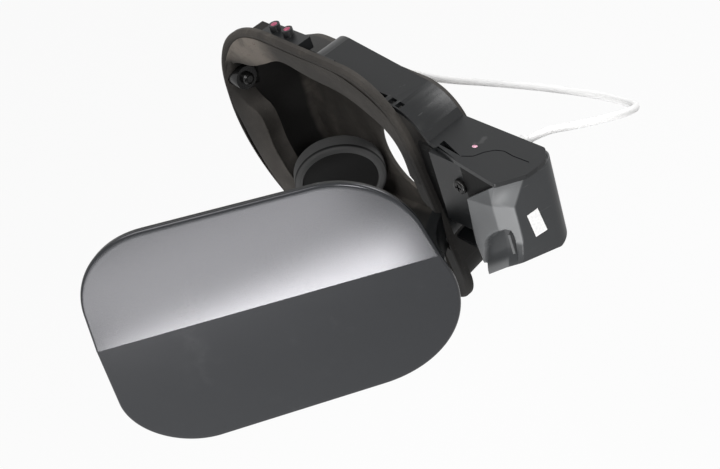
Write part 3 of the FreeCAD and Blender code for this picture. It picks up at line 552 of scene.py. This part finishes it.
flap_loop = rounded_loop(side_corners(), FLAP_RADII, ARC_POINTS)
halves = [turned_open(skin_half(flap_loop, upper)) for upper in (True, False)]
rows = halves[0].shape[0]
faces = [grid_faces(rows, HALF_POINTS), grid_faces(rows, HALF_POINTS, rows * HALF_POINTS)[:, ::-1]]
flap_skin = surface("flap_skin_pressed", np.concatenate(halves), np.concatenate(faces), paint, "flap")
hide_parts("flap_skin")
print("skin points", 2 * rows * HALF_POINTS)

# %% [markdown]
# ## Cover of the hinge box
#
# The cover is one thin moulding with flat facets in front, an upright side that turns a round corner
# into the back, and an arched recess with a rib. It is worked out as a net of a few corner points,
# filled in evenly between them, with the creases softened and the recess pressed in afterwards.

# %% Net of the cover
BOX_TOP_Z = 74.4
BOX_CORNER_RADIUS = 8.0
BOX_CORNER_CENTRE = (140.6, -27.0)
BOX_WALL_ANGLE = -12.2
BOX_BACK_END_X = 116.0
BOX_LEFT = ((115.2, -53.0, 5.0), (111.9, -53.0, 26.0), (112.9, -53.0, 38.0), (115.2, -53.0, 57.4),
            (136.8, -51.0, 72.7))
BOX_FOLD = ((130.5, -52.1, 17.0), (131.5, -51.9, 29.0), (132.4, -51.9, 40.0), (132.0, -52.0, 60.3),
            (137.0, -51.0, 72.9))
BOX_RIDGE = ((142.5, -50.5, 25.0), (143.3, -49.0, 31.0), (143.9, -47.6, 40.2), (143.9, -47.6, 60.0),
             (146.0, -37.9, BOX_TOP_Z))
BOX_WALL_LEVELS = (21.8, 30.0, 40.2, 60.0, BOX_TOP_Z)
BOX_BACK_LEVELS = (29.0, 34.0, 40.2, 60.0, BOX_TOP_Z)
BOX_CORNER_COLUMNS = 9
BOX_STEP = 0.8
CREASE_SOFTNESS = 0.5
CREASE_SAMPLES = 5


def box_net():
    """Columns of corner points from the left edge round the corner to the back: three given ones, then
    an arc of upright columns about the corner's centre, then the end of the back."""
    columns = [np.array(BOX_LEFT), np.array(BOX_FOLD), np.array(BOX_RIDGE)]
    for share in np.linspace(0, 1, BOX_CORNER_COLUMNS):
        angle = math.radians(BOX_WALL_ANGLE + share * (90 - BOX_WALL_ANGLE))
        x = BOX_CORNER_CENTRE[0] + BOX_CORNER_RADIUS * math.cos(angle)
        y = BOX_CORNER_CENTRE[1] + BOX_CORNER_RADIUS * math.sin(angle)
        levels = np.array(BOX_WALL_LEVELS) * (1 - share) + np.array(BOX_BACK_LEVELS) * share
        columns.append(np.stack((np.full(len(levels), x), np.full(len(levels), y), levels), axis=1))
    last = columns[-1].copy()
    last[:, 0] = BOX_BACK_END_X
    return np.stack(columns + [last], axis=1)


def filled(net, step, softness):
    """Net filled in along its first axis: straight between its rows, each crease softened by averaging
    over a short way to both sides, with the places spread evenly by the longest run."""
    gaps = np.linalg.norm(np.diff(net, axis=0), axis=2).max(axis=1)
    knots = np.concatenate(([0.0], np.cumsum(gaps)))
    places = np.linspace(0, knots[-1], int(knots[-1] / step) + 1)
    total = 0.0
    for shift in np.linspace(-softness, softness, CREASE_SAMPLES):
        near = np.clip(places + shift, 0, knots[-1])
        slot = np.clip(np.searchsorted(knots, near, side="right") - 1, 0, len(knots) - 2)
        share = ((near - knots[slot]) / (knots[slot + 1] - knots[slot]))[:, None, None]
        total = total + net[slot] * (1 - share) + net[slot + 1] * share
    return total / CREASE_SAMPLES


def smooth_step(value, low, high):
    """0 below low, 1 above high, with a smooth rise between them."""
    share = np.clip((value - low) / (high - low), 0, 1)
    return share * share * (3 - 2 * share)


# %% The cover with its recess
ARCH_X = (111.0, 114.4, 117.4, 119.7, 122.6, 125.7, 131.6, 135.7, 138.2, 139.6)
ARCH_Z = (2.0, 13.6, 23.7, 31.0, 34.8, 38.0, 42.6, 44.7, 44.5, 41.0)
ARCH_RIGHT_X = 139.8
ARCH_DEPTH = 3.0
ARCH_EDGE = 1.3
ARCH_RISE = 12.0
FRONT_LIMIT_Y = -45.0
# Levels of painted light on the cover's front facets, standing for the lamps' sheen on them.
PAINTED_LIGHT_LOW_LEFT, PAINTED_LIGHT_LOW_RIGHT = 0.33, 0.55
PAINTED_LIGHT_HIGH_LEFT, PAINTED_LIGHT_HIGH_RIGHT = 0.12, 0.34
PAINTED_LIGHT_END_Z, PAINTED_LIGHT_FADE = 38.0, 3.0
FRONT_START, FRONT_FULL = 0.1, 0.5
RIDGE_BLUR, FOLD_BLUR = 0.4, 0.3
COVER_WALL = 1.8
COVER_SMOOTH_ANGLE = math.radians(40)

net = filled(box_net(), BOX_STEP, CREASE_SOFTNESS)
skin = filled(net.swapaxes(0, 1), BOX_STEP, CREASE_SOFTNESS).swapaxes(0, 1)
x, y, z = skin[..., 0], skin[..., 1], skin[..., 2]
inside = np.minimum(np.interp(x, ARCH_X, ARCH_Z) - z, ARCH_RIGHT_X - x)
pressed = smooth_step(inside, 0.0, ARCH_EDGE) * (y < FRONT_LIMIT_Y)
low_edge_z = np.interp(x, (BOX_LEFT[0][0], BOX_FOLD[0][0], BOX_RIDGE[0][0]),
                       (BOX_LEFT[0][2], BOX_FOLD[0][2], BOX_RIDGE[0][2]))
pressed = pressed * smooth_step(z - low_edge_z, 0.0, ARCH_RISE)
wall_x = BOX_RIDGE[3][0] + (y - BOX_RIDGE[3][1]) * math.tan(math.radians(-BOX_WALL_ANGLE))
front = smooth_step(wall_x - x, FRONT_START, FRONT_FULL) * (y < BOX_RIDGE[4][1])
fold_x = BOX_FOLD[2][0]
ridge_z = np.interp(x, (BOX_LEFT[3][0], BOX_RIDGE[3][0]), (BOX_LEFT[3][2], BOX_RIDGE[3][2]))
below = 1 - smooth_step(z - ridge_z, -RIDGE_BLUR, RIDGE_BLUR)
right = smooth_step(x, fold_x - FOLD_BLUR, fold_x + FOLD_BLUR)
# Painted light on the front facets: paler below the ridge than above it, paler right of the fold, fading out
# low on the right, none in the recess.
low_painted_light = PAINTED_LIGHT_LOW_LEFT + right * (PAINTED_LIGHT_LOW_RIGHT - PAINTED_LIGHT_LOW_LEFT)
low_painted_light = low_painted_light * (1 - right * (1 - smooth_step(z, PAINTED_LIGHT_END_Z - PAINTED_LIGHT_FADE, PAINTED_LIGHT_END_Z)))
high_painted_light = PAINTED_LIGHT_HIGH_LEFT + right * (PAINTED_LIGHT_HIGH_RIGHT - PAINTED_LIGHT_HIGH_LEFT)
wear_and_painted_light = (low_painted_light * below + high_painted_light * (1 - below)) * front * (1 - smooth_step(pressed, 0.1, 0.6))
skin[..., 1] = y + pressed * ARCH_DEPTH
cover = surface("hinge_box_skin", skin, grid_faces(*skin.shape[:2]), cover_plastic, "unit",
                COVER_SMOOTH_ANGLE, wear_and_painted_light)
thick = cover.modifiers.new("wall", "SOLIDIFY")
thick.thickness = COVER_WALL * MM
thick.offset = -1.0
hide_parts("hinge_box_cover")
print("cover points", skin.shape[:2])

# %% [markdown]
# ## Small plates, label, dots and lines
#
# Small things tell the eye how big the part is: webs in front of the hinge box, a rib in its recess, a
# bare white label, dots of marking paint and the parting line that the mould leaves across the lid.
# Each is a flat sheet or a thin drop laid on the face that carries it.

# %% Flat plates from corner points
def plate(name, corners, thickness, material, body):
    """Flat sheet over a polygon of corner points: a front and a back, moved apart by the thickness along
    the polygon's normal, and a band of sides between them."""
    front = np.array(corners)
    normal = np.cross(front[1] - front[0], front[2] - front[0])
    normal /= np.linalg.norm(normal)
    back = front - normal * thickness
    count = len(front)
    ring = np.arange(count)
    after = (ring + 1) % count
    sides = np.stack((ring, ring + count, after + count, after), axis=1).tolist()
    mesh = bpy.data.meshes.new(name)
    points = np.concatenate((front, back)) * MM
    mesh.from_pydata(points, [], [ring.tolist(), (ring[::-1] + count).tolist()] + sides)
    mesh.materials.append(material)
    piece = bpy.data.objects.new(name, mesh)
    bpy.context.scene.collection.objects.link(piece)
    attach(piece, body)
    return piece


WEB_Y = -49.4
WEB_LEFT_X, WEB_TOP_Z, WEB_FOOT_Z = 112.0, 74.3, 30.5
SLOT_WEB_Y = -45.6
SLOT_WEB_X = (77.0, 91.0)
SLOT_WEB_Z = (30.5, 74.0)
WEB_SHEET = 1.6
RIB_HEIGHT = 2.4
LABEL_SHEET = 0.25

web_corners = [(WEB_LEFT_X, WEB_Y, WEB_FOOT_Z), (114.8, WEB_Y, WEB_FOOT_Z), (115.0, WEB_Y, 56.5),
               (138.6, WEB_Y, WEB_TOP_Z), (WEB_LEFT_X, WEB_Y, WEB_TOP_Z)]
slot_corners = [(SLOT_WEB_X[0], SLOT_WEB_Y, SLOT_WEB_Z[0]), (SLOT_WEB_X[1], SLOT_WEB_Y, SLOT_WEB_Z[0]),
                (SLOT_WEB_X[1], SLOT_WEB_Y, SLOT_WEB_Z[1]), (SLOT_WEB_X[0], SLOT_WEB_Y, SLOT_WEB_Z[1])]
label_corners = [(145.9, -41.0, 36.7), (147.5, -34.4, 37.1), (146.9, -36.6, 52.5), (145.4, -42.8, 51.7)]
rib_corners = [(135.6, -49.7, 27.0), (137.3, -49.4, 28.0), (136.9, -49.5, 40.6), (135.6, -49.8, 40.0)]
plate("recess_rib", rib_corners, RIB_HEIGHT, worn_plastic, "unit")
plate("box_web", web_corners, WEB_SHEET, web_plastic, "unit")
plate("slot_web", slot_corners, WEB_SHEET, web_plastic, "unit")
plate("blank_label", label_corners, LABEL_SHEET, label_paper, "unit")
print("plates: rib, two webs and a label")


# %% Dots of paint and the parting line
LID_Z = 77.0
CLIP_TOP_Z = 112.5
CLIP_DOT_RADIUS, CLIP_DOT_HEIGHT = 1.9, 0.4
LID_DOT_HEIGHT = 0.3
DOT_POINTS, DOT_RINGS = 20, 6
LINE_WIDTH, LINE_LIFT = 0.45, 0.05
LINE_POINTS = 60
PARTING_ROUTE = ((109.7, -45.2), (115.2, -42.3), (118.2, -37.1), (121.9, -33.4), (126.5, -31.8),
                 (133.2, -32.5), (143.4, -32.2))


def dot(name, centre, across, up, height, material):
    """Flat drop of paint: rings about the centre whose height falls off as the square of the radius."""
    normal = np.cross(across, up)
    normal = normal / np.linalg.norm(normal)
    angles = np.linspace(0, 2 * math.pi, DOT_POINTS, endpoint=False)
    turn, share = np.meshgrid(angles, np.linspace(0.02, 1, DOT_RINGS))
    flat = np.cos(turn)[..., None] * np.array(across) + np.sin(turn)[..., None] * np.array(up)
    points = np.array(centre) + share[..., None] * flat + (height * (1 - share ** 2))[..., None] * normal
    faces = grid_faces(DOT_RINGS, DOT_POINTS, closed=True)[:, ::-1]
    piece = surface(name, points, faces, material, "unit")
    return piece


def ribbon(name, points, width, material):
    """Narrow flat strip along a line on the lid, its two edges half a width to each side."""
    line = evenly(np.array(points), LINE_POINTS)
    way = np.gradient(line, axis=0)
    side = np.stack((-way[:, 1], way[:, 0], np.zeros(len(way))), axis=1)
    side *= width / 2 / np.linalg.norm(side, axis=1)[:, None]
    edges = np.stack((line + side, line - side))
    piece = surface(name, edges, grid_faces(2, len(line))[:, ::-1], material, "unit")
    return piece


dot("lid_dot", (110.4, -36.2, LID_Z), (1.5, 0.4, 0.0), (-0.3, 1.0, 0.0), LID_DOT_HEIGHT, marking_paint)
for name, stud_x in (("clip_dot_far", -33.5), ("clip_dot_near", -21.6)):
    dot(name, (stud_x, -40.5, CLIP_TOP_Z), (CLIP_DOT_RADIUS, 0.0, 0.0), (0.0, CLIP_DOT_RADIUS, 0.0),
        CLIP_DOT_HEIGHT, marking_red)
parting_line = [(x, y, LID_Z + LINE_LIFT) for x, y in PARTING_ROUTE]
ribbon("parting_line", parting_line, LINE_WIDTH, groove_dark)
print("three dots and a parting line")

# %% [markdown]
# ## Funnel band of the bowl
#
# Inside the lip the rubber runs inward as a broad flat band before it drops to the floor. The band is
# widest round the far end. Two lines, its outer and its inner edge, are spread to equally many
# points, and the band is ruled between them, dished a little and turned down at its inner edge.

# %% Band between two lines
BAND_OUTER = (
    (74.5, 47.0), (72.5, 64.0), (68.5, 81.5), (62.5, 89.0), (55.0, 94.5), (46.5, 98.5), (37.5, 102.0),
    (27.0, 104.5), (13.0, 104.8), (-4.0, 104.5), (-18.0, 105.0), (-34.0, 105.5), (-50.0, 104.8),
    (-62.0, 101.5), (-77.0, 91.5), (-93.0, 74.0), (-104.5, 56.5), (-106.5, 43.0), (-103.5, 31.0),
    (-100.5, 13.0), (-95.5, -5.0), (-86.5, -21.5), (-74.0, -33.0), (-58.0, -40.5),
)
BAND_INNER = (
    (60.0, 44.0), (60.0, 55.4), (58.0, 62.9), (54.1, 69.5), (49.9, 73.4), (42.6, 77.4), (34.3, 81.1),
    (27.2, 84.0), (21.9, 85.6), (11.2, 86.7), (-4.6, 87.2), (-14.8, 88.5), (-30.2, 91.3), (-38.0, 90.0),
    (-54.0, 82.5), (-70.0, 76.0), (-83.0, 75.0), (-94.3, 71.0), (-100.5, 60.0), (-101.5, 48.0),
    (-95.5, 38.5), (-84.2, 35.6), (-83.0, 21.5), (-84.5, 9.0), (-78.5, -9.5), (-66.0, -25.0),
    (-52.0, -33.0),
)
BAND_POINTS = 300
BAND_ROWS = 12
BAND_OUTER_PASSES, BAND_INNER_PASSES = 60, 40
BAND_OUTER_Y, BAND_INNER_Y, BAND_FOOT_Y = -49.8, -45.5, -34.0
BAND_DISH = 1.6
BAND_ROLL = 2.0
ROLL_POINTS = 6


def softened(line, passes):
    """Line with its kinks smoothed out: each point moves to the mean of itself and its neighbours."""
    for step in range(passes):
        line[1:-1] = (line[:-2] + 2 * line[1:-1] + line[2:]) / 4
    return line


outer_line = softened(evenly(np.array(BAND_OUTER), BAND_POINTS), BAND_OUTER_PASSES)
inner_line = softened(evenly(np.array(BAND_INNER), BAND_POINTS), BAND_INNER_PASSES)
share = np.linspace(0, 1, BAND_ROWS)[:, None]
band_x = outer_line[:, 0] * (1 - share) + inner_line[:, 0] * share
band_z = outer_line[:, 1] * (1 - share) + inner_line[:, 1] * share
band_y = np.tile(BAND_OUTER_Y + (BAND_INNER_Y - BAND_OUTER_Y) * share ** BAND_DISH, BAND_POINTS)
turn = np.linspace(0, math.pi / 2, ROLL_POINTS)[1:, None]
outward = (outer_line - inner_line) / np.linalg.norm(outer_line - inner_line, axis=1)[:, None]
roll_shift = BAND_ROLL * (1 - np.cos(turn)) - BAND_ROLL * np.sin(turn)
roll_x = inner_line[:, 0] + outward[:, 0] * roll_shift
roll_z = inner_line[:, 1] + outward[:, 1] * roll_shift
roll_y = np.tile(BAND_INNER_Y + BAND_ROLL * (1 - np.cos(turn)), BAND_POINTS)
flat_part = np.stack((band_x, band_y, band_z), axis=-1)
rolled_part = np.stack((roll_x, roll_y, roll_z), axis=-1)
foot = np.stack((roll_x[-1], np.full(BAND_POINTS, BAND_FOOT_Y), roll_z[-1]), axis=-1)[None]
band = np.concatenate((flat_part, rolled_part, foot))
funnel = surface("funnel_band", band, grid_faces(*band.shape[:2]), band_rubber, "unit")
print("funnel band points", band.shape[:2])

# %% [markdown]
# ## Release cable
#
# A plastic sleeve leaves the back of the bowl, swings round behind the carrier in one springy loop
# and runs down into the hinge box. A NURBS curve through the route's control points bends as the
# sleeve does, and its round bevel gives the sleeve its thickness.

# %% Cable on its route
CABLE_DIAMETER = 4.2
CABLE_ROUTE = (
    (-30.0, 2.5, 42.0), (-30.0, 18.0, 42.0), (-16.0, 26.0, 41.0), (4.0, 29.5, 40.0), (31.0, 39.7, 40.0),
    (65.0, 51.3, 40.0), (101.0, 59.5, 41.0), (126.0, 57.0, 45.5), (141.0, 47.5, 54.5), (146.0, 31.5, 63.0),
    (137.0, 12.0, 67.0), (120.0, -4.0, 67.0), (120.0, -20.0, 67.0),
)


def cable_curve(name, route, diameter):
    """Smooth tube: a NURBS spline of order 3 with the route's points as control points."""
    data = bpy.data.curves.new(name, "CURVE")
    data.dimensions = "3D"
    data.bevel_depth = diameter / 2 * MM
    data.bevel_resolution = 6
    data.resolution_u = 16
    data.use_fill_caps = True
    spline = data.splines.new("NURBS")
    spline.points.add(len(route) - 1)
    points = np.ones((len(route), 4))
    points[:, :3] = np.array(route) * MM
    spline.points.foreach_set("co", points.ravel())
    spline.order_u = 3
    spline.use_endpoint_u = True
    piece = bpy.data.objects.new(name, data)
    bpy.context.scene.collection.objects.link(piece)
    return piece


cable = cable_curve("cable_sleeve_white", CABLE_ROUTE, CABLE_DIAMETER)
cable.data.materials.append(sleeve_white)
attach(cable, "unit")
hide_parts("release_cable")

# %% [markdown]
# ## Floor and light
#
# The unit hangs free over a pale floor, lit by broad soft lamps. The floor and the sky look white
# to the camera and in reflections, while the light on the part stays at a plain level. The upper half
# of the flap mirrors two long low lamps in front of it: a narrow one makes the bright band along the
# crease, and a wider one above it fades towards the top edge.

# %% Floor, sky and lamps
FLOOR_Z = -0.42
FLOOR_HALF = 4.0
FLOOR_GLOW_SHARE = 0.93
SKY_STRENGTH = 0.20
FLAP_MIDDLE = (0.058, -0.149, 0.037)
PART_MIDDLE = (0.03, -0.05, 0.05)
CABLE_MIDDLE = (0.17, 0.04, 0.05)
LAMPS = (
    ("flap_strip", (0.241, -0.451, -0.197), FLAP_MIDDLE, 0.28, 0.040, 1.45),
    ("flap_lamp", (0.243, -0.501, -0.126), FLAP_MIDDLE, 0.28, 0.070, 0.50),
    ("cable_lamp", (0.45, -0.25, 0.30), CABLE_MIDDLE, 0.15, 0.15, 1.3),
    ("key_lamp", (0.03, -0.60, 0.80), PART_MIDDLE, 0.5, 0.5, 4.5),
    ("back_lamp", (0.10, 0.75, 0.60), PART_MIDDLE, 0.6, 0.4, 6.0),
)


def white_when_seen(tree):
    """1 for camera, glossy and transmitted rays and 0 for the rays that light the part."""
    path = tree.nodes.new("ShaderNodeLightPath")
    total = None
    for ray in ("Is Camera Ray", "Is Glossy Ray", "Is Transmission Ray"):
        if total is None:
            total = path.outputs[ray]
            continue
        most = tree.nodes.new("ShaderNodeMath")
        most.operation = "MAXIMUM"
        tree.links.new(total, most.inputs[0])
        tree.links.new(path.outputs[ray], most.inputs[1])
        total = most.outputs[0]
    return total


def pale_floor():
    """Wide flat floor that glows white to the camera, with a share of plain paint left to show the shadow."""
    corners = [(x * FLOOR_HALF, y * FLOOR_HALF, FLOOR_Z) for x, y in ((-1, -1), (1, -1), (1, 1), (-1, 1))]
    mesh = bpy.data.meshes.new("floor")
    mesh.from_pydata(corners, [], [(0, 1, 2, 3)])
    floor = bpy.data.objects.new("floor", mesh)
    bpy.context.scene.collection.objects.link(floor)
    material = bpy.data.materials.new("floor")
    material.use_nodes = True
    tree = material.node_tree
    shader = tree.nodes["Principled BSDF"]
    shader.inputs["Base Color"].default_value = (0.8, 0.8, 0.8, 1.0)
    shader.inputs["Roughness"].default_value = 0.9
    glow = tree.nodes.new("ShaderNodeEmission")
    glow.inputs["Strength"].default_value = 1.0
    mix = tree.nodes.new("ShaderNodeMixShader")
    share = tree.nodes.new("ShaderNodeMath")
    share.operation = "MULTIPLY"
    share.inputs[1].default_value = FLOOR_GLOW_SHARE
    tree.links.new(white_when_seen(tree), share.inputs[0])
    tree.links.new(share.outputs[0], mix.inputs[0])
    tree.links.new(shader.outputs[0], mix.inputs[1])
    tree.links.new(glow.outputs[0], mix.inputs[2])
    tree.links.new(mix.outputs[0], tree.nodes["Material Output"].inputs["Surface"])
    mesh.materials.append(material)


def soft_sky(strength):
    """World that lights the part evenly and looks white behind it and in reflections."""
    world = bpy.data.worlds.new("sky")
    world.use_nodes = True
    bpy.context.scene.world = world
    tree = world.node_tree
    light = tree.nodes["Background"]
    light.inputs["Strength"].default_value = strength
    light.inputs["Color"].default_value = (1.0, 1.0, 1.0, 1.0)
    seen = tree.nodes.new("ShaderNodeBackground")
    seen.inputs["Color"].default_value = (1.0, 1.0, 1.0, 1.0)
    mix = tree.nodes.new("ShaderNodeMixShader")
    tree.links.new(white_when_seen(tree), mix.inputs[0])
    tree.links.new(light.outputs[0], mix.inputs[1])
    tree.links.new(seen.outputs[0], mix.inputs[2])
    tree.links.new(mix.outputs[0], tree.nodes["World Output"].inputs["Surface"])


def soft_lamp(name, place, target, width, height, watts):
    """Rectangular lamp at a place, facing a target. The camera does not see it."""
    data = bpy.data.lights.new(name, "AREA")
    data.shape = "RECTANGLE"
    data.size = width
    data.size_y = height
    data.energy = watts
    lamp = bpy.data.objects.new(name, data)
    bpy.context.scene.collection.objects.link(lamp)
    way = Vector(target) - Vector(place)
    turn = way.to_track_quat("-Z", "Y").to_matrix().to_4x4()
    lamp.matrix_world = Matrix.Translation(Vector(place)) @ turn
    lamp.visible_camera = False


pale_floor()
soft_sky(SKY_STRENGTH)
for name, place, target, width, height, watts in LAMPS:
    soft_lamp(name, place, target, width, height, watts)
print("floor, sky and", len(LAMPS), "lamps")
